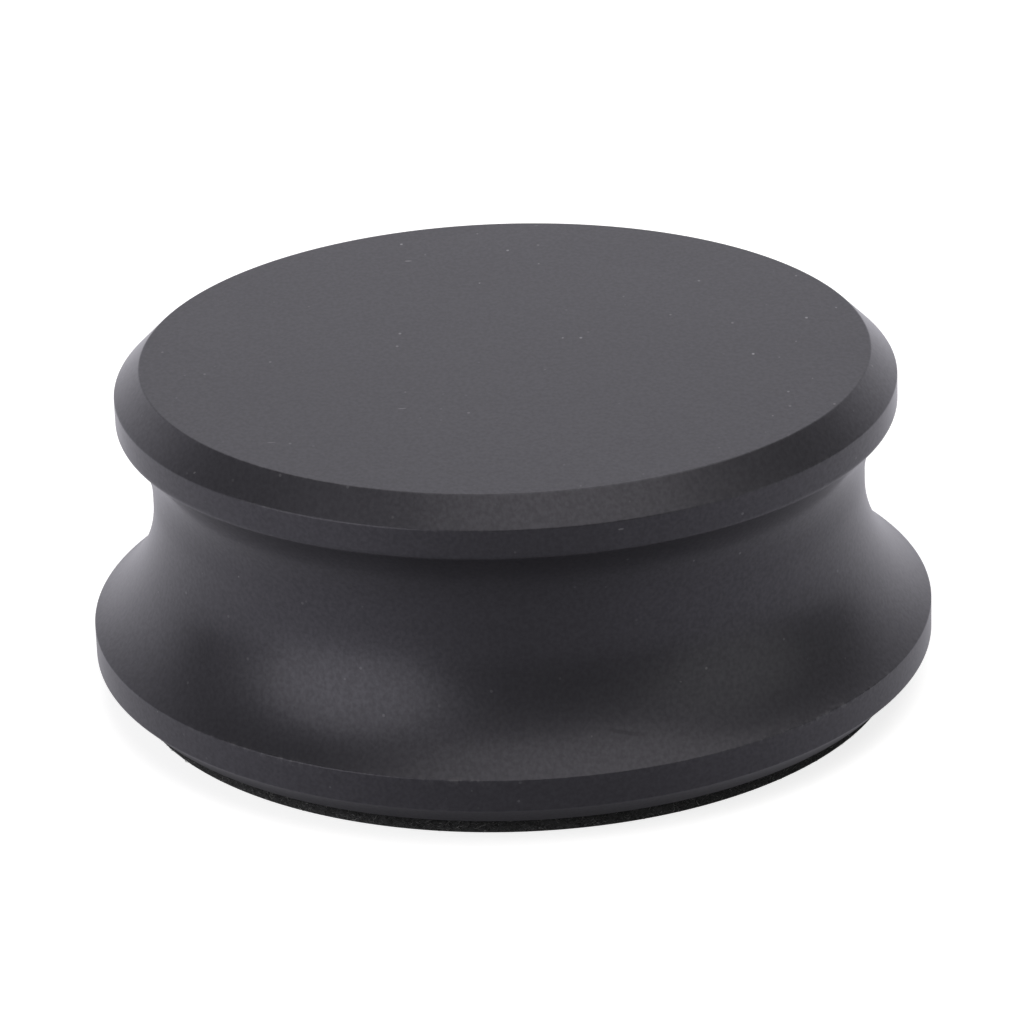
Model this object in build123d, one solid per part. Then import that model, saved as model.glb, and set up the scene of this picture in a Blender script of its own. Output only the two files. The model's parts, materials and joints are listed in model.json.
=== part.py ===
from build123d import *

import os
from math import radians, tan

# A record weight: a turned metal body that drops over a turntable's spindle and lies on the label on a
# soft pad. Sizes are in millimetres. The origin is the centre of the pad's underside, and +Z is the
# turning axis, pointing up.

# Body, across
waist_diameter = 64.1
base_overhang = 5.95
rim_overhang = 2.95

# Body, stacked upwards from its underside
foot_chamfer = 1.9
base_land = 2.85
flare_height = 11.4
waist_wall = 1.1
undercut_height = 6.7
rim_land = 2.55
top_chamfer = 2.35

# Corners of the body, broken so that they don't cut
edge_break = 0.12
grip_edge_break = 0.3

# Spindle hole, drilled from below
bore_diameter = 7.5
bore_depth = 16.0
bore_countersink = 0.8
drill_point_angle = 118.0

# Pad under the body
pad_thickness = 1.75
pad_inset = 1.35
pad_hole_clearance = 0.9

# Radii worked out from the sizes above
waist_radius = waist_diameter / 2
base_radius = waist_radius + base_overhang
rim_radius = waist_radius + rim_overhang
foot_radius = base_radius - foot_chamfer
top_radius = rim_radius - top_chamfer
bore_radius = bore_diameter / 2
bore_mouth_radius = bore_radius + bore_countersink
pad_radius = foot_radius - pad_inset
pad_hole_radius = bore_mouth_radius + pad_hole_clearance

# Heights above the surface that the pad lies on
underside_z = pad_thickness
base_low_z = underside_z + foot_chamfer
base_high_z = base_low_z + base_land
wall_low_z = base_high_z + flare_height
wall_high_z = wall_low_z + waist_wall
rim_low_z = wall_high_z + undercut_height
rim_high_z = rim_low_z + rim_land
top_z = rim_high_z + top_chamfer
bore_end_z = underside_z + bore_depth
drill_tip_z = bore_end_z + bore_radius / tan(radians(drill_point_angle / 2))


def turned(outline, breaks=()):
    """Face inside a closed outline in the XZ plane, with corners broken by (point, size), turned about Z."""
    with BuildSketch(Plane.XZ) as section:
        with BuildLine():
            add(outline)
        make_face()
        for point, size in breaks:
            chamfer(section.vertices().sort_by_distance(point)[0], size)
    return revolve(section.sketch, axis=Axis.Z)


def turned_blank():
    """The body before drilling, with every outer corner broken by a small chamfer.

    The flare and the undercut are arcs that leave the waist's short wall along its own line and end
    on the corners of the base and the rim. Fingers grip the body under the rim, so that corner is
    broken further.
    """
    wall_low = (waist_radius, wall_low_z)
    wall_high = (waist_radius, wall_high_z)
    base_corners = [(base_radius, base_high_z), (base_radius, base_low_z), (foot_radius, underside_z)]
    rim_corners = [(top_radius, top_z), (rim_radius, rim_high_z)]
    grip_corner = (rim_radius, rim_low_z)
    axis_ends = [(0, underside_z), (0, top_z)]
    with BuildLine() as outline:
        Line(wall_high, wall_low)
        TangentArc(wall_low, base_corners[0], tangent=(0, -1))
        Polyline(*base_corners, *axis_ends, *rim_corners, grip_corner)
        TangentArc(wall_high, grip_corner, tangent=(0, 1))
    breaks = [(corner, edge_break) for corner in base_corners + rim_corners]
    return turned(outline.line, breaks + [(grip_corner, grip_edge_break)])


def spindle_hole():
    """The drilled space: a countersunk mouth, a round wall and the cone that the drill's point leaves."""
    with BuildLine() as outline:
        Polyline(
            (0, underside_z),
            (bore_mouth_radius, underside_z),
            (bore_radius, underside_z + bore_countersink),
            (bore_radius, bore_end_z),
            (0, drill_tip_z),
            close=True,
        )
    return turned(outline.line)


def weight_body():
    """The turned body with its spindle hole."""
    return turned_blank() - spindle_hole()


def base_pad():
    """Ring of felt stuck to the underside, inside the foot's edge and clear of the spindle hole."""
    with BuildLine() as outline:
        Polyline(
            (pad_hole_radius, 0),
            (pad_radius, 0),
            (pad_radius, pad_thickness),
            (pad_hole_radius, pad_thickness),
            close=True,
        )
    return turned(outline.line)


os.makedirs("parts", exist_ok=True)
export_step(weight_body(), "parts/weight_body.step")
export_step(base_pad(), "parts/base_pad.step")
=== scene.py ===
import json
import bpy
import numpy as np
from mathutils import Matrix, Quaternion, Vector


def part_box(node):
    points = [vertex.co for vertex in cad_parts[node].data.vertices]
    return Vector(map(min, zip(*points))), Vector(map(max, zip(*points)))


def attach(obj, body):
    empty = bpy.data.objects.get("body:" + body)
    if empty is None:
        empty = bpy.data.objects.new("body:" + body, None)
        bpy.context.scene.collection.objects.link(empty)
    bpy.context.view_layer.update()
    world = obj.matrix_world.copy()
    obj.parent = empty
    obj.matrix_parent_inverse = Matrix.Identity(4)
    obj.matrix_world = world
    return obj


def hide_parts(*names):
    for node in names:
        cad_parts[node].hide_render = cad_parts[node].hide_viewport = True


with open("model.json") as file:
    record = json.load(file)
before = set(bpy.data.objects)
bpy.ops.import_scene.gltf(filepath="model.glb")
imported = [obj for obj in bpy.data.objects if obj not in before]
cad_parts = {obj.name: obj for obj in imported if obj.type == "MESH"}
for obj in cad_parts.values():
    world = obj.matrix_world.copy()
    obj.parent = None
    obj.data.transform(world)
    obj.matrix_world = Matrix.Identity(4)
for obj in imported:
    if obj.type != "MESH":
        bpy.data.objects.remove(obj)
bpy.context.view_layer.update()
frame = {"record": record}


# Weight body
# One length of aluminium bar, turned in a lathe, blasted with fine glass beads and anodised black.
# Fingers lift it by the hollow waist, and a blind hole underneath drops over the turntable's spindle.
body_low, body_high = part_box("weight_body")
spindle_bore = next(mount for mount in frame["record"]["mounts"] if mount["name"] == "spindle_bore")
base_radius = body_high.x
underside = body_low.z
top = body_high.z
rim_radius = 0.0350
waist_radius = 0.03205
foot_chamfer = 0.0019
base_land = 0.00285
waist_wall = 0.0011
undercut_height = 0.0067
rim_land = 0.00255
top_chamfer = 0.00235
bore_radius = spindle_bore["dims"]["r_mm"] / 1000
bore_wall = spindle_bore["dims"]["length_mm"] / 1000
bore_countersink = 0.0008
drill_point_angle = 118.0
drill_tip_rise = bore_radius / np.tan(np.radians(drill_point_angle / 2))
edge_ease = 0.0001
grip_ease = 0.0003
base_edge_ease = 0.00007
wear_reach = 0.00013
light_wear_and_highlight = 0.35
grip_wear_and_highlight = 0.12
base_edge_wear_and_highlight = 1.0
wear_and_highlight_between_knocks = 0.2
knocked_places = [(60, 14), (140, 10), (236, 11), (262, 5), (316, 13)]
corner_steps = 6
guard_loop = 0.00005
body_segments = 384


def straight(start, end, count):
    """Points evenly spaced on a straight line."""
    share = np.linspace(0, 1, count)[:, None]
    return np.array(start) * (1 - share) + np.array(end) * share


def hollow_arc(wall, corner, count):
    """Arc that leaves an upright wall along its own line and ends on a corner.

    With d the corner's distance out from the wall and h its height from the wall's end, the radius is
    (d squared + h squared) / 2d, the centre is level with the wall's end, and the arc turns by twice
    the angle whose tangent is d / h.
    """
    out = corner[0] - wall[0]
    rise = corner[1] - wall[1]
    radius = (out ** 2 + rise ** 2) / (2 * out)
    turn = np.linspace(0, 2 * np.arctan2(out, abs(rise)), count)
    across = wall[0] + radius * (1 - np.cos(turn))
    up = wall[1] + np.sign(rise) * radius * np.sin(turn)
    return np.stack([across, up], 1)


def eased_outline(stretches, eases, wears):
    """One outline from stretches that meet at corners, with each corner eased by a small round of its own.

    A stretch is cut short by the ease at both ends and gets a loop close to each cut, which keeps the
    shading of the faces flat. At share s a round is (1 - s) squared times its start, plus 2 s (1 - s) times
    the corner, plus s squared times its end. Returns the points and each one's wear, which also sets a
    painted highlight along the edge: the corner's own on a round, and elsewhere a corner's wear times e to
    the power of -(distance / wear_reach) squared, from the corner that gives more.
    """
    points = []
    nearness = []
    eases = [0.0, *eases, 0.0]
    wears = [0.0, *wears, 0.0]
    for stretch, ease_before, ease_after, wear in zip(stretches, eases, eases[1:], zip(wears, wears[1:])):
        run = np.concatenate([[0], np.cumsum(np.hypot(*np.diff(stretch, axis=0).T))])
        begin = ease_before
        end = run[-1] - ease_after
        inner = run[(run > begin + 2 * guard_loop) & (run < end - 2 * guard_loop)]
        kept = np.concatenate([[begin, begin + guard_loop], inner, [end - guard_loop, end]])
        points.append(np.stack([np.interp(kept, run, stretch[:, axis]) for axis in (0, 1)], 1))
        from_start = wear[0] * np.exp(-((kept / wear_reach) ** 2))
        from_end = wear[1] * np.exp(-(((run[-1] - kept) / wear_reach) ** 2))
        nearness.append(np.maximum(from_start, from_end))
    outline = [points[0]]
    edge = [nearness[0]]
    share = np.linspace(0, 1, corner_steps + 1)[1:-1, None]
    corners = zip(points, points[1:], stretches[1:], nearness[1:], wears[1:])
    for before, after, stretch, near, wear in corners:
        corner = stretch[0]
        rounded = before[-1] * (1 - share) ** 2 + 2 * corner * share * (1 - share) + after[0] * share ** 2
        outline += [rounded, after]
        edge += [np.full(len(rounded), wear), near]
    return np.concatenate(outline), np.concatenate(edge)


def new_piece(name, points, faces):
    """Smoothly shaded object made of points and faces."""
    mesh = bpy.data.meshes.new(name)
    mesh.from_pydata(points, [], faces)
    mesh.shade_smooth()
    piece = bpy.data.objects.new(name, mesh)
    bpy.context.collection.objects.link(piece)
    return piece


def turned(name, outline, segments):
    """Surface of revolution: outline point (r, z) at angle a lies at (r cos a, r sin a, z).

    The outline starts and ends on the axis, where its ring of points is one point, and it runs down
    the outside, so that the faces point outwards.
    """
    angle = np.linspace(0, 2 * np.pi, segments, endpoint=False)
    radius = outline[1:-1, 0, None]
    height = np.broadcast_to(outline[1:-1, 1, None], (len(radius), segments))
    rings = np.stack([radius * np.cos(angle), radius * np.sin(angle), height], 2).reshape(-1, 3)
    ends = np.array([[0, 0, outline[0, 1]], [0, 0, outline[-1, 1]]])
    place = np.arange(len(rings)).reshape(-1, segments)
    beside = np.roll(place, -1, axis=1)
    quads = np.stack([place[:-1], place[1:], beside[1:], beside[:-1]], 2).reshape(-1, 4)
    first_pole = np.full(segments, len(rings))
    last_pole = first_pole + 1
    first_fan = np.stack([first_pole, place[0], beside[0]], 1)
    last_fan = np.stack([last_pole, beside[-1], place[-1]], 1)
    faces = quads.tolist() + first_fan.tolist() + last_fan.tolist()
    return new_piece(name, np.concatenate([rings, ends]), faces)


def add_node(tree, kind, values=None, **settings):
    """New shader node with its settings, and with values on its inputs by name or number."""
    node = tree.nodes.new(kind)
    for setting, value in settings.items():
        setattr(node, setting, value)
    for socket, value in (values or {}).items():
        node.inputs[socket].default_value = value
    return node


def remap(tree, span, onto=(0.0, 1.0), smooth=False, clamp=True):
    """Node that takes a value across one span, evenly or in a soft step, onto another."""
    values = {"From Min": span[0], "From Max": span[1], "To Min": onto[0], "To Max": onto[1]}
    step = "SMOOTHSTEP" if smooth else "LINEAR"
    return add_node(tree, "ShaderNodeMapRange", values, interpolation_type=step, clamp=clamp)


def join(tree, *wires):
    """Links, each given as a node and its output, then a node and its input."""
    for source, output, target, socket in wires:
        tree.links.new(source.outputs[output], target.inputs[socket])


def new_material(name):
    """Empty node material with its output, and the Principled shader linked to it."""
    material = bpy.data.materials.new(name)
    material.use_nodes = True
    tree = material.node_tree
    tree.nodes.clear()
    shader = add_node(tree, "ShaderNodeBsdfPrincipled")
    output = add_node(tree, "ShaderNodeOutputMaterial")
    tree.links.new(shader.outputs["BSDF"], output.inputs["Surface"])
    return material, tree, shader


rim_high = top - top_chamfer
rim_low = rim_high - rim_land
wall_high = rim_low - undercut_height
wall_low = wall_high - waist_wall
base_low = underside + foot_chamfer
base_high = base_low + base_land
bore_mouth = bore_radius + bore_countersink
bore_start = underside + bore_countersink
bore_end = bore_start + bore_wall
undercut = hollow_arc((waist_radius, wall_high), (rim_radius, rim_low), 20)
flare = hollow_arc((waist_radius, wall_low), (base_radius, base_high), 28)
body_stretches = [
    straight((0, top), (rim_radius - top_chamfer, top), 16),
    straight((rim_radius - top_chamfer, top), (rim_radius, rim_high), 5),
    straight((rim_radius, rim_high), (rim_radius, rim_low), 5),
    np.concatenate([undercut[::-1], flare]),
    straight((base_radius, base_high), (base_radius, base_low), 5),
    straight((base_radius, base_low), (base_radius - foot_chamfer, underside), 5),
    straight((base_radius - foot_chamfer, underside), (bore_mouth, underside), 16),
    straight((bore_mouth, underside), (bore_radius, bore_start), 4),
    straight((bore_radius, bore_start), (bore_radius, bore_end), 8),
    straight((bore_radius, bore_end), (0, bore_end + drill_tip_rise), 5),
]
# Each corner's wear is real wear and also a painted highlight: it lightens the edge's colour in the
# material.
body_eases = [edge_ease, edge_ease, grip_ease, base_edge_ease] + [edge_ease] * 5
body_wears_and_highlights = [light_wear_and_highlight, light_wear_and_highlight, grip_wear_and_highlight, base_edge_wear_and_highlight] + [light_wear_and_highlight] * 5
body_outline, body_edge = eased_outline(body_stretches, body_eases, body_wears_and_highlights)
body = turned("turned_body", body_outline, body_segments)
angle = np.linspace(0, 360, body_segments, endpoint=False)
knocks = sum(np.exp(-(((angle - knock) / width) ** 2)) for knock, width in knocked_places)
wear_and_highlight_around = wear_and_highlight_between_knocks + (1 - wear_and_highlight_between_knocks) * np.minimum(knocks, 1)
edge_values = body_edge[1:-1, None] * wear_and_highlight_around
edge_layer = body.data.attributes.new("edge", "FLOAT", "POINT")
edge_layer.data.foreach_set("value", np.append(edge_values, body_edge[[0, -1]]).astype(np.float32))

dye_colour = (0.0278, 0.0270, 0.0312)
worn_and_highlit_edge_colour = (0.075, 0.073, 0.078, 1.0)
dust_colour = (0.32, 0.315, 0.33, 1.0)
dusty_side = (0.5, 0.87, 0.0)
anodised, tree, shader = new_material("black_anodised")
shader.inputs["IOR"].default_value = 1.5
shader.inputs["Specular Tint"].default_value = (0.91, 0.88, 1.0, 1.0)
shader.inputs["Coat Weight"].default_value = 0.65
shader.inputs["Coat Roughness"].default_value = 0.2
shader.inputs["Coat IOR"].default_value = 1.15
place = add_node(tree, "ShaderNodeTexCoord")
grain = add_node(tree, "ShaderNodeTexNoise", {"Scale": 2900.0, "Detail": 1.0, "Roughness": 0.5})
cloud = add_node(tree, "ShaderNodeTexNoise", {"Scale": 90.0, "Detail": 3.0, "Roughness": 0.55})
chips = add_node(tree, "ShaderNodeTexNoise", {"Scale": 1400.0, "Detail": 3.0, "Roughness": 0.6})
dust_turn = add_node(tree, "ShaderNodeMapping", {"Scale": (1.0, 0.65, 1.0)})
dust = add_node(tree, "ShaderNodeTexVoronoi", {"Scale": 540.0})
lint_turn = add_node(tree, "ShaderNodeMapping", {"Rotation": (0.0, 0.0, 0.4), "Scale": (0.22, 1.0, 1.0)})
lint = add_node(tree, "ShaderNodeTexVoronoi", {"Scale": 330.0})
join(
    tree,
    (place, "Object", cloud, "Vector"),
    (place, "Object", chips, "Vector"),
    (place, "Object", dust_turn, "Vector"),
    (place, "Object", lint_turn, "Vector"),
    (lint_turn, "Vector", lint, "Vector"),
    (dust_turn, "Vector", dust, "Vector"),
    (dust_turn, "Vector", grain, "Vector"),
)

# The dye varies a little in depth, and knocks have thinned it in places along the edges; the lighter edge
# colour is also a painted highlight.
tone = remap(tree, (0.3, 0.7), (0.93, 1.07))
dye = add_node(tree, "ShaderNodeVectorMath", {0: dye_colour}, operation="SCALE")
edge = add_node(tree, "ShaderNodeAttribute", attribute_name="edge")
wear_and_highlight_breakup = remap(tree, (0.5, 0.64))
edge_wear_and_highlight = add_node(tree, "ShaderNodeMath", operation="MULTIPLY")
edge_wear_and_highlight_mix = add_node(tree, "ShaderNodeMix", {"B": worn_and_highlit_edge_colour}, data_type="RGBA")
join(
    tree,
    (cloud, "Fac", tone, "Value"),
    (tone, "Result", dye, "Scale"),
    (chips, "Fac", wear_and_highlight_breakup, "Value"),
    (edge, "Fac", edge_wear_and_highlight, 0),
    (wear_and_highlight_breakup, "Result", edge_wear_and_highlight, 1),
    (edge_wear_and_highlight, 0, edge_wear_and_highlight_mix, "Factor"),
    (dye, "Vector", edge_wear_and_highlight_mix, "A"),
)

# Specks of dust and a few bits of lint lie on it, most of them on top, towards the back and the right.
speck = remap(tree, (0.088, 0.046), smooth=True)
faint = add_node(tree, "ShaderNodeMath", {1: 1.5}, operation="POWER")
lean = add_node(tree, "ShaderNodeVectorMath", {1: dusty_side}, operation="DOT_PRODUCT")
drift = remap(tree, (-0.02, 0.008), (0.3, 1.0))
fibre = remap(tree, (0.034, 0.018), smooth=True)
facing = add_node(tree, "ShaderNodeSeparateXYZ")
settled = remap(tree, (0.75, 1.0), (0.3, 1.0))
pale = add_node(tree, "ShaderNodeMath", operation="MULTIPLY")
dirt = add_node(tree, "ShaderNodeMath", operation="MAXIMUM")
cover = add_node(tree, "ShaderNodeMath", operation="MULTIPLY")
dusty = add_node(tree, "ShaderNodeMix", {"B": dust_colour}, data_type="RGBA")
join(
    tree,
    (dust, "Distance", speck, "Value"),
    (dust, "Color", faint, 0),
    (faint, 0, pale, 1),
    (place, "Object", lean, 0),
    (lean, "Value", drift, "Value"),
    (drift, "Result", settled, "To Max"),
    (speck, "Result", pale, 0),
    (lint, "Distance", fibre, "Value"),
    (place, "Normal", facing, 0),
    (facing, "Z", settled, "Value"),
    (pale, 0, dirt, 0),
    (fibre, "Result", dirt, 1),
    (dirt, 0, cover, 0),
    (settled, "Result", cover, 1),
    (cover, 0, dusty, "Factor"),
    (edge_wear_and_highlight_mix, "Result", dusty, "A"),
    (dusty, "Result", shader, "Base Color"),
)

# The blast leaves a fine grain that breaks up the gloss, and the edges have small nicks.
rough = remap(tree, (0.3, 0.7), (0.395, 0.425))
gloss = remap(tree, (0.3, 0.7), (0.41, 0.59))
dents = remap(tree, (0.3, 0.7), (-3.0, 3.0), clamp=False)
relief = add_node(tree, "ShaderNodeMath", operation="MULTIPLY_ADD")
bump = add_node(tree, "ShaderNodeBump", {"Strength": 0.5, "Distance": 0.00002})
join(
    tree,
    (grain, "Fac", gloss, "Value"),
    (cloud, "Fac", rough, "Value"),
    (rough, "Result", shader, "Roughness"),
    (chips, "Fac", dents, "Value"),
    (edge, "Fac", relief, 0),
    (dents, "Result", relief, 1),
    (grain, "Fac", relief, 2),
    (relief, 0, bump, "Height"),
    (bump, "Normal", shader, "Normal"),
)

# A short, faint scuff has dulled the flare at the front. With t from -1 to 1 across it, its height is a
# parabola, height + slope t + curve t squared, and it fades as 1 - t squared.
scuff_left = 0.0074
scuff_right = 0.0112
scuff_height = 0.0088
scuff_slope = -0.000435
scuff_curve = 0.000115
scuff_core = 0.00006
scuff_reach = 0.0002
scuff_loss = 0.36
axes = add_node(tree, "ShaderNodeSeparateXYZ")
across = remap(tree, (scuff_left, scuff_right), (-1.0, 1.0), clamp=False)
bow = add_node(tree, "ShaderNodeMath", {1: scuff_curve, 2: scuff_slope}, operation="MULTIPLY_ADD")
track = add_node(tree, "ShaderNodeMath", {2: scuff_height}, operation="MULTIPLY_ADD")
miss = add_node(tree, "ShaderNodeMath", operation="SUBTRACT")
distance = add_node(tree, "ShaderNodeMath", operation="ABSOLUTE")
thin = remap(tree, (scuff_reach, scuff_core), smooth=True)
square = add_node(tree, "ShaderNodeMath", {1: 2.0}, operation="POWER")
fading = add_node(tree, "ShaderNodeMath", {0: 1.0}, operation="SUBTRACT", use_clamp=True)
at_front = add_node(tree, "ShaderNodeMath", {1: 0.0}, operation="LESS_THAN")
scuff = add_node(tree, "ShaderNodeMath", operation="MULTIPLY")
front_scuff = add_node(tree, "ShaderNodeMath", operation="MULTIPLY")
dulled = add_node(tree, "ShaderNodeMath", {1: -scuff_loss, 2: 1.0}, operation="MULTIPLY_ADD")
level = add_node(tree, "ShaderNodeMath", operation="MULTIPLY")
join(
    tree,
    (place, "Object", axes, 0),
    (axes, "X", across, "Value"),
    (across, "Result", bow, 0),
    (bow, 0, track, 0),
    (across, "Result", track, 1),
    (axes, "Z", miss, 0),
    (track, 0, miss, 1),
    (miss, 0, distance, 0),
    (distance, 0, thin, "Value"),
    (across, "Result", square, 0),
    (square, 0, fading, 1),
    (axes, "Y", at_front, 0),
    (thin, "Result", scuff, 0),
    (fading, 0, scuff, 1),
    (scuff, 0, front_scuff, 0),
    (at_front, 0, front_scuff, 1),
    (front_scuff, 0, dulled, 0),
    (gloss, "Result", level, 0),
    (dulled, 0, level, 1),
    (level, 0, shader, "Specular IOR Level"),
)
body.data.materials.append(anodised)
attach(body, "root")
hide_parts("weight_body")


# Base pad
# A ring of dense black felt, punched from sheet and stuck to the underside. It lies on the record's label.
# Its cut edge is lumpy and a little rounded, and its lower face is pressed flat by the weight.
pad_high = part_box("base_pad")[1]
pad_radius = pad_high.x
pad_top = pad_high.z
pad_hole = 0.00545
edge_draw = 0.00004
draw_power = 6
lump_height = 0.00002
lump_blur = 1.6
lump_seed = 11
clean_cut = 0.25
pad_segments = 1600
wall_steps = 15
upper_steps = 6
lower_steps = 24


def blurred_noise(rows, columns, blur, seed):
    """Random heights on a grid that closes on itself, blurred by a bell curve and scaled to a spread of 1.

    The blur is done on the heights' waves: each is multiplied by e to the power of -2 (pi blur f) squared,
    where f is its frequency in turns per grid step.
    """
    heights = np.random.default_rng(seed).standard_normal((rows, columns))
    square = np.fft.fftfreq(rows)[:, None] ** 2 + np.fft.rfftfreq(columns) ** 2
    keep = np.exp(-2 * (np.pi * blur) ** 2 * square)
    smooth = np.fft.irfft2(np.fft.rfft2(heights) * keep, s=heights.shape)
    return smooth / smooth.std()


def felt_ring(name):
    """Ring whose section is a closed loop of points (r, z), each pushed out along n by a lump of height h.

    At angle a the point lies at ((r + h n_r) cos a, (r + h n_r) sin a, z + h n_z). A wall at share w of the
    height draws in by a high power of 2w - 1 towards both faces. Lumps fade out over the lowest part of the
    outer wall, where the punch cut clean, and on the lower face they are pits only.
    """
    share = np.linspace(1, 0, wall_steps)
    draw = edge_draw * np.abs(2 * share - 1) ** draw_power
    outer = np.stack([pad_radius - draw, pad_top * share], 1)
    inner = np.stack([pad_hole + draw, pad_top * share], 1)[::-1]
    upper = straight(inner[-1], outer[0], upper_steps)[1:-1]
    lower = straight(outer[-1], inner[0], lower_steps)[1:-1]
    loop = np.concatenate([outer, lower, inner, upper])
    out = np.zeros_like(loop)
    out[:wall_steps, 0] = 1
    out[wall_steps:wall_steps + len(lower), 1] = -1
    out[wall_steps + len(lower):-len(upper), 0] = -1
    lumps = lump_height * blurred_noise(len(loop), pad_segments, lump_blur, lump_seed)
    lumps[:wall_steps] *= np.minimum(share / clean_cut, 1)[:, None]
    lumps = np.where(out[:, 1, None] < 0, -np.abs(lumps), lumps)
    angle = np.linspace(0, 2 * np.pi, pad_segments, endpoint=False)
    radius = loop[:, 0, None] + lumps * out[:, 0, None]
    height = loop[:, 1, None] + lumps * out[:, 1, None]
    points = np.stack([radius * np.cos(angle), radius * np.sin(angle), height], 2).reshape(-1, 3)
    place = np.arange(len(points)).reshape(len(loop), pad_segments)
    under = np.roll(place, -1, axis=0)
    beside = np.roll(place, -1, axis=1)
    under_beside = np.roll(under, -1, axis=1)
    faces = np.stack([place, under, under_beside, beside], 2).reshape(-1, 4)
    return new_piece(name, points, faces.tolist())


pad = felt_ring("felt_pad")
wool_colour = (0.0225, 0.0225, 0.0232)
felt, tree, shader = new_material("black_felt")
shader.inputs["Roughness"].default_value = 0.95
shader.inputs["Sheen Weight"].default_value = 0.15
shader.inputs["Sheen Roughness"].default_value = 0.5
shader.inputs["Specular IOR Level"].default_value = 0.25
place = add_node(tree, "ShaderNodeTexCoord")
tangle = add_node(
    tree, "ShaderNodeTexNoise", {"Scale": 3200.0, "Detail": 3.0, "Roughness": 0.65, "Distortion": 1.2})
depth = remap(tree, (0.34, 0.72), (0.3, 2.2))
split = add_node(tree, "ShaderNodeSeparateXYZ")
# The felt is painted paler towards its lower face: painted light bounced up from the floor.
painted_floor_bounce_light = remap(tree, (0.0, 0.0009), (1.9, 1.0))
paler = add_node(tree, "ShaderNodeMath", operation="MULTIPLY")
wool = add_node(tree, "ShaderNodeVectorMath", {0: wool_colour}, operation="SCALE")
bump = add_node(tree, "ShaderNodeBump", {"Strength": 0.6, "Distance": 0.00015})
join(
    tree,
    (place, "Object", tangle, "Vector"),
    (tangle, "Fac", depth, "Value"),
    (place, "Object", split, 0),
    (split, "Z", painted_floor_bounce_light, "Value"),
    (depth, "Result", paler, 0),
    (painted_floor_bounce_light, "Result", paler, 1),
    (paler, 0, wool, "Scale"),
    (wool, "Vector", shader, "Base Color"),
    (tangle, "Fac", bump, "Height"),
    (bump, "Normal", shader, "Normal"),
)
pad.data.materials.append(felt)
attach(pad, "root")
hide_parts("base_pad")


# Felt fibres
# The cut edge of the felt shows its wool: short black fibres that lie along the wall, with both ends felted
# in. Some stand off a little, and a few are paler where they catch dust. More of them are pale low down and
# fewer at the top: painted light from the floor below and painted shade under the base.
fibre_count = 8000
fibre_radius = 0.000014
fibre_sink = 0.00004
fibre_stations = 4
fibre_seed = 23
lowest_fibre = 0.03
highest_fibre = 0.97
shortest_fibre = 0.0002
longest_fibre = 0.0007
slope_spread = 0.6
bend_spread = 0.16
least_lift = 0.00004
lift_spread = 0.00005
lift_shape = 1.2
greatest_lift = 0.00022
pale_shape = (0.45, 2.6)
pale_at_bottom = 1.4
pale_at_top = 0.7


def wall_fibres(name):
    """Thin three-sided rods along curves on the pad's outer wall.

    At t from -1 to 1 a fibre of length l, slope s and bend b has run along (l/2 t) and sideways
    (b t squared), turned by s in the unrolled wall. It stands off by its lift times (1 - t squared), less
    the sink. Pale fibres are thicker, and paleness is painted higher low down and lower near the top, as
    painted light from the floor and painted shade under the base. Each radius falls to half at both ends.
    """
    random = np.random.default_rng(fibre_seed)
    angle = random.uniform(0, 2 * np.pi, (fibre_count, 1))
    height = random.uniform(lowest_fibre, highest_fibre, (fibre_count, 1)) * pad_top
    length = random.uniform(shortest_fibre, longest_fibre, (fibre_count, 1))
    slope = random.normal(0, slope_spread, (fibre_count, 1))
    bend = random.normal(0, bend_spread, (fibre_count, 1)) * length
    lift = least_lift + lift_spread * random.gamma(lift_shape, 1.0, (fibre_count, 1))
    t = np.linspace(-1, 1, fibre_stations)
    along = length / 2 * t
    aside = bend * t ** 2
    run = along * np.cos(slope) - aside * np.sin(slope)
    rise = height + along * np.sin(slope) + aside * np.cos(slope)
    rise = np.clip(rise, 2 * fibre_radius, pad_top - 2 * fibre_radius)
    wall = pad_radius - edge_draw * np.abs(2 * rise / pad_top - 1) ** draw_power
    reach = wall - fibre_sink + np.minimum(lift, greatest_lift) * (1 - t ** 2)
    turn = angle + run / pad_radius
    outward = np.stack([np.cos(turn), np.sin(turn), np.zeros_like(turn)], 2)
    around = np.stack([-np.sin(turn), np.cos(turn), np.zeros_like(turn)], 2)
    upward = np.array([0.0, 0.0, 1.0])
    sideways = -np.sin(slope)[..., None] * around + np.cos(slope)[..., None] * upward
    path = reach[..., None] * outward + rise[..., None] * upward
    # Paleness rises towards the bottom and falls towards the top: painted light from the floor, painted
    # shade under the base.
    painted_light_by_height = pale_at_bottom + (pale_at_top - pale_at_bottom) * height / pad_top
    paleness = random.beta(*pale_shape, (fibre_count, 1)) * painted_light_by_height
    thickness = (fibre_radius * (1 + paleness) * (1 - t ** 2 / 2))[..., None]
    corner = np.radians([0, 120, 240])
    rods = np.stack(
        [path + thickness * (np.cos(phi) * outward + np.sin(phi) * sideways) for phi in corner], 2
    )
    place = np.arange(fibre_count * fibre_stations * 3).reshape(fibre_count, fibre_stations, 3)
    beside = np.roll(place, -1, axis=2)
    sides = np.stack([place[:, :-1], place[:, 1:], beside[:, 1:], beside[:, :-1]], 3).reshape(-1, 4)
    ends = np.concatenate([place[:, 0], place[:, -1, ::-1]])
    piece = new_piece(name, rods.reshape(-1, 3), sides.tolist() + ends.tolist())
    layer = piece.data.attributes.new("paleness", "FLOAT", "POINT")
    layer.data.foreach_set("value", np.repeat(paleness, fibre_stations * 3).astype(np.float32))
    return piece


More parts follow.
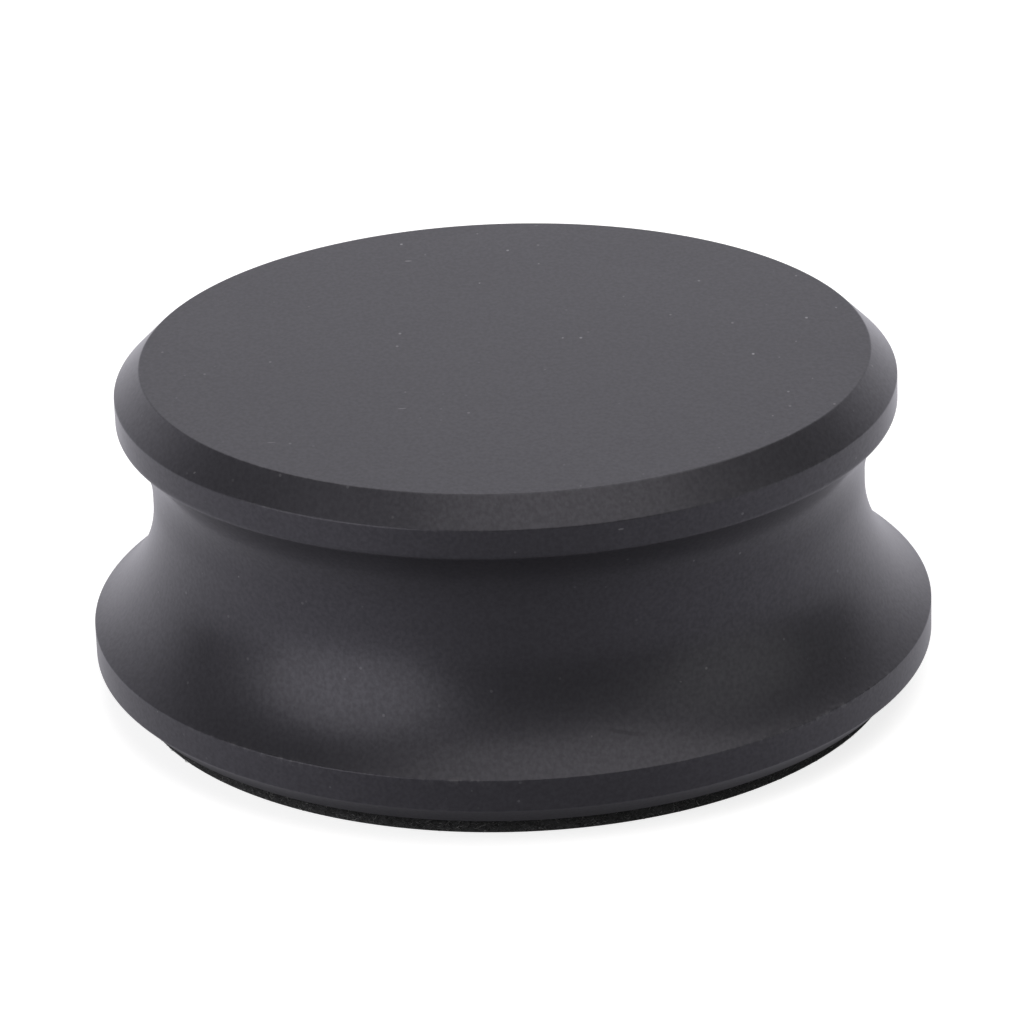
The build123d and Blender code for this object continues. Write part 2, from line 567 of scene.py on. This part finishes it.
fibres = wall_fibres("felt_fibres")
black_wool = (0.020, 0.020, 0.021, 1.0)
dusty_wool = (0.30, 0.30, 0.295, 1.0)
wool_fibre, tree, shader = new_material("wool_fibre")
shader.inputs["Roughness"].default_value = 0.7
shader.inputs["Sheen Weight"].default_value = 0.2
paleness = add_node(tree, "ShaderNodeAttribute", attribute_name="paleness")
blend = add_node(tree, "ShaderNodeMix", {"A": black_wool, "B": dusty_wool}, data_type="RGBA")
join(
    tree,
    (paleness, "Fac", blend, "Factor"),
    (blend, "Result", shader, "Base Color"),
)
fibres.data.materials.append(wool_fibre)
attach(fibres, "root")


# Floor
# A pale sheet that the weight stands on. It shows white and keeps the weight's soft shadow. In the metal's
# mirror image it is a painted glow instead: white behind the weight and painted shade in front, where the
# studio is dark, with a painted shadow that is dimmer close to the weight than further out and dark under
# the foot.
floor_size = 6.0
floor_drop = 0.00002
sheet_colour = (0.62, 0.62, 0.62, 1.0)
sheet_glow = 0.78
mirrored_white = (0.94, 0.925, 1.0, 1.0)
side_tone = 0.71
behind_gain = 0.29
front_loss = 0.41
near_shadow_span = (0.045, 0.085)
near_shadow_tones = (0.9, 1.12)
foot_shadow_span = (0.0352, 0.0382)
foot_shadow_tone = 0.095
floor_half = floor_size / 2
floor_corners = [(-1, -1), (1, -1), (1, 1), (-1, 1)]
floor_points = [(x * floor_half, y * floor_half, -floor_drop) for x, y in floor_corners]
floor = new_piece("floor", floor_points, [(0, 1, 2, 3)])

sheet = bpy.data.materials.new("white_sheet")
sheet.use_nodes = True
tree = sheet.node_tree
tree.nodes.clear()
paper = add_node(tree, "ShaderNodeBsdfDiffuse", {"Color": sheet_colour})
fill = add_node(tree, "ShaderNodeEmission", {"Color": (1, 1, 1, 1), "Strength": sheet_glow})
lit_paper = add_node(tree, "ShaderNodeAddShader")
# The mirrored glow paints the lit floor, with painted shade in front where the studio is dark.
mirrored = add_node(tree, "ShaderNodeEmission", {"Color": mirrored_white})
seen = add_node(tree, "ShaderNodeMixShader")
surface = add_node(tree, "ShaderNodeMixShader")
output = add_node(tree, "ShaderNodeOutputMaterial")
rays = add_node(tree, "ShaderNodeLightPath")
mirror_ray = add_node(tree, "ShaderNodeMath", operation="MAXIMUM")
place = add_node(tree, "ShaderNodeTexCoord")
reach = add_node(tree, "ShaderNodeVectorMath", operation="LENGTH")
compass = add_node(tree, "ShaderNodeVectorMath", operation="NORMALIZE")
split = add_node(tree, "ShaderNodeSeparateXYZ")
behind = add_node(tree, "ShaderNodeMath", {1: 0.0}, operation="MAXIMUM")
front = add_node(tree, "ShaderNodeMath", {1: -1.0}, operation="MULTIPLY")
front_only = add_node(tree, "ShaderNodeMath", {1: 0.0}, operation="MAXIMUM")
behind_square = add_node(tree, "ShaderNodeMath", {1: 2.0}, operation="POWER")
front_narrow = add_node(tree, "ShaderNodeMath", {1: 5.0}, operation="POWER")
brighter = add_node(tree, "ShaderNodeMath", {1: behind_gain, 2: side_tone}, operation="MULTIPLY_ADD")
dimmer = add_node(tree, "ShaderNodeMath", {1: -front_loss}, operation="MULTIPLY_ADD")
# Painted shadow in the mirrored glow: dimmer close to the weight, and dark under the foot.
further = remap(tree, near_shadow_span, near_shadow_tones, smooth=True)
painted_floor_tone = add_node(tree, "ShaderNodeMath", operation="MULTIPLY", use_clamp=True)
painted_foot_shadow = remap(tree, foot_shadow_span, (foot_shadow_tone, 1.0), smooth=True)
join(
    tree,
    (place, "Object", reach, 0),
    (place, "Object", compass, 0),
    (compass, "Vector", split, 0),
    (split, "Y", behind, 0),
    (split, "Y", front, 0),
    (behind, 0, behind_square, 0),
    (front, 0, front_only, 0),
    (front_only, 0, front_narrow, 0),
    (behind_square, 0, brighter, 0),
    (front_narrow, 0, dimmer, 0),
    (brighter, 0, dimmer, 2),
    (reach, "Value", painted_foot_shadow, "Value"),
    (reach, "Value", further, "Value"),
    (dimmer, 0, painted_floor_tone, 0),
    (further, "Result", painted_floor_tone, 1),
    (painted_floor_tone, 0, painted_foot_shadow, "To Max"),
    (painted_foot_shadow, "Result", mirrored, "Strength"),
    (rays, "Is Glossy Ray", mirror_ray, 0),
    (rays, "Is Transmission Ray", mirror_ray, 1),
    (paper, 0, lit_paper, 0),
    (fill, 0, lit_paper, 1),
    (rays, "Is Camera Ray", seen, "Fac"),
    (paper, 0, seen, 1),
    (lit_paper, 0, seen, 2),
    (mirror_ray, 0, surface, "Fac"),
    (seen, 0, surface, 1),
    (mirrored, 0, surface, 2),
    (surface, 0, output, "Surface"),
)
floor.data.materials.append(sheet)


# Studio light
# Three softboxes on stands, at the left, at the right and overhead, and a white backdrop behind the weight,
# which reaches a little further round on the left. The room on the camera's side is dark.
def direction(azimuth, elevation):
    """Unit vector at an azimuth, from the camera's side to the right, and an elevation, in degrees.

    With a the azimuth and e the elevation it is (cos e sin a, -cos e cos a, sin e).
    """
    turn = np.radians(azimuth)
    rise = np.radians(elevation)
    return Vector((np.cos(rise) * np.sin(turn), -np.cos(rise) * np.cos(turn), np.sin(rise)))


def softbox(name, azimuth, elevation, half_width, half_height, radiance, colour, shape="RECTANGLE"):
    """Lamp a metre away that faces the weight. Its half sides are angles seen from the weight, and a lamp of
    area A needs a power of 4 A times its radiance."""
    lamp = bpy.data.lights.new(name, "AREA")
    lamp.shape = shape
    lamp.size = 2 * np.tan(np.radians(half_width))
    lamp.size_y = 2 * np.tan(np.radians(half_height))
    filled = np.pi / 4 if shape == "ELLIPSE" else 1.0
    lamp.energy = 4 * filled * lamp.size * lamp.size_y * radiance
    lamp.color = colour
    stand = bpy.data.objects.new(name, lamp)
    toward = direction(azimuth, elevation)
    stand.location = toward + Vector((0, 0, top / 2))
    stand.rotation_euler = toward.to_track_quat("Z", "Y").to_euler()
    stand.visible_camera = False
    bpy.context.collection.objects.link(stand)


softbox(
    "left_softbox", azimuth=-52.0, elevation=20.0, half_width=27.0, half_height=27.0,
    radiance=1.60, colour=(0.99, 0.985, 1.0), shape="ELLIPSE")
softbox(
    "right_softbox", azimuth=66.0, elevation=22.0, half_width=24.0, half_height=22.0,
    radiance=0.62, colour=(0.98, 1.0, 0.95), shape="ELLIPSE")
softbox(
    "overhead_softbox", azimuth=88.0, elevation=80.8, half_width=36.5, half_height=25.8,
    radiance=1.24, colour=(1.0, 0.985, 0.965))

world = bpy.data.worlds.new("studio")
bpy.context.scene.world = world
world.use_nodes = True
tree = world.node_tree
tree.nodes.clear()
rays = add_node(tree, "ShaderNodeLightPath")
around = add_node(tree, "ShaderNodeTexCoord")
split = add_node(tree, "ShaderNodeSeparateXYZ")
wrap = remap(tree, (-1.0, 0.0), (0.1, 0.0))
wrapped = add_node(tree, "ShaderNodeMath", operation="ADD")
behind = remap(tree, (0.38, 0.62), smooth=True)
below = remap(tree, (0.70, 0.58), smooth=True)
paler_low = remap(tree, (0.05, 0.50), (0.98, 0.62))
screen = add_node(tree, "ShaderNodeMath", operation="MULTIPLY")
backdrop = add_node(tree, "ShaderNodeMath", operation="MULTIPLY")
white = add_node(tree, "ShaderNodeBackground", {"Color": (1, 1, 1, 1)})
seen = add_node(tree, "ShaderNodeMixShader")
background = add_node(tree, "ShaderNodeBackground", {"Color": mirrored_white})
output = add_node(tree, "ShaderNodeOutputWorld")
join(
    tree,
    (around, "Generated", split, 0),
    (split, "X", wrap, "Value"),
    (split, "Y", wrapped, 0),
    (wrap, "Result", wrapped, 1),
    (wrapped, 0, behind, "Value"),
    (split, "Z", below, "Value"),
    (split, "Z", paler_low, "Value"),
    (behind, "Result", screen, 0),
    (paler_low, "Result", screen, 1),
    (screen, 0, backdrop, 0),
    (below, "Result", backdrop, 1),
    (backdrop, 0, background, "Strength"),
    (rays, "Is Camera Ray", seen, "Fac"),
    (background, 0, seen, 1),
    (white, 0, seen, 2),
    (seen, 0, output, "Surface"),
)


# Camera
# A long lens half a metre away, looking down on the weight, turned a little about its own line of sight.
camera_place = Vector((0.0, -0.446242, 0.207282))
aim_point = Vector((0.000188, 0.0, 0.014860))
camera_roll = -1.961
camera = bpy.data.cameras.new("camera")
camera.sensor_width = 36.0
camera.lens = 188.92
eye = bpy.data.objects.new("camera", camera)
eye.location = camera_place
eye.rotation_mode = "QUATERNION"
sight = (aim_point - camera_place).to_track_quat("-Z", "Y")
eye.rotation_quaternion = sight @ Quaternion((0, 0, 1), np.radians(camera_roll))
bpy.context.collection.objects.link(eye)
bpy.context.scene.camera = eye
bpy.context.scene.view_settings.view_transform = "Standard"
